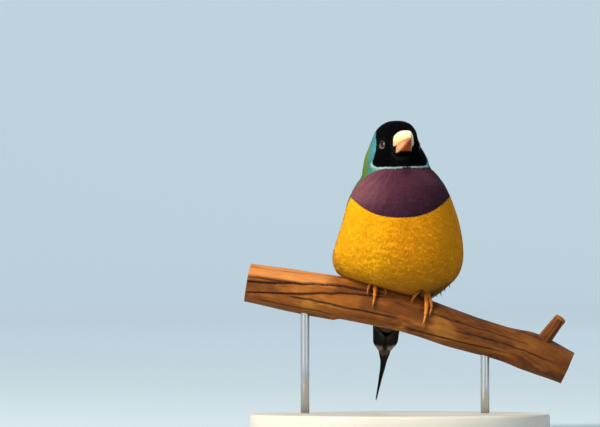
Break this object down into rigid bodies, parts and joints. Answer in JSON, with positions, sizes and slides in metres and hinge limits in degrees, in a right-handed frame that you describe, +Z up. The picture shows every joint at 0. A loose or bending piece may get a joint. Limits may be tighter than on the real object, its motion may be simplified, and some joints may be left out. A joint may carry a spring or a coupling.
{
  "type": "gouldian finch",
  "caption": "Life-size still model of a fluffed-up gouldian finch gripping a cut length of branch held on rods above a flat oval base.",
  "frame": {"origin": "middle of the base's underside", "axes": "+Z up, the bird looks along -Y, +X is the bird's left and runs along the perch"},
  "size_m": [0.1321, 0.084, 0.1247],
  "materials": {
    "head_feathers": "velvety black feathers",
    "neck_feathers": "turquoise feathers behind the mask, purple in front",
    "body_feathers": "golden yellow belly feathers, purple breast, green back",
    "wing_feathers": "green feathers with dusky flight feathers",
    "tail_feathers": "black tail feathers",
    "bill_horn": "smooth ivory horn",
    "bill_horn_red": "smooth horn, ivory flushed with red",
    "eye": "wet and glossy, dark brown",
    "leg_skin": "scaled skin, orange flesh colour",
    "claw": "smooth horn",
    "perch_wood": "weathered bare wood, reddish brown",
    "stand_board": "smooth satin paint, off-white",
    "stand_steel": "fine brushed"
  },
  "bodies": {
    "root": {"head": "head_feathers", "neck": "neck_feathers", "torso": "body_feathers", "wing_left": "wing_feathers", "wing_right": "wing_feathers", "tail": "tail_feathers", "bill_upper": "bill_horn", "bill_lower": "bill_horn_red", "eye_left": "eye", "eye_right": "eye", "leg_left": "leg_skin", "leg_right": "leg_skin", "claw_left_outer": "claw", "claw_left_middle": "claw", "claw_left_inner": "claw", "claw_left_hind": "claw", "claw_right_outer": "claw", "claw_right_middle": "claw", "claw_right_inner": "claw", "claw_right_hind": "claw", "perch_branch": "perch_wood", "stand_base": "stand_board", "stand_rod_left": "stand_steel", "stand_rod_right": "stand_steel"}
  },
  "joints": []
}
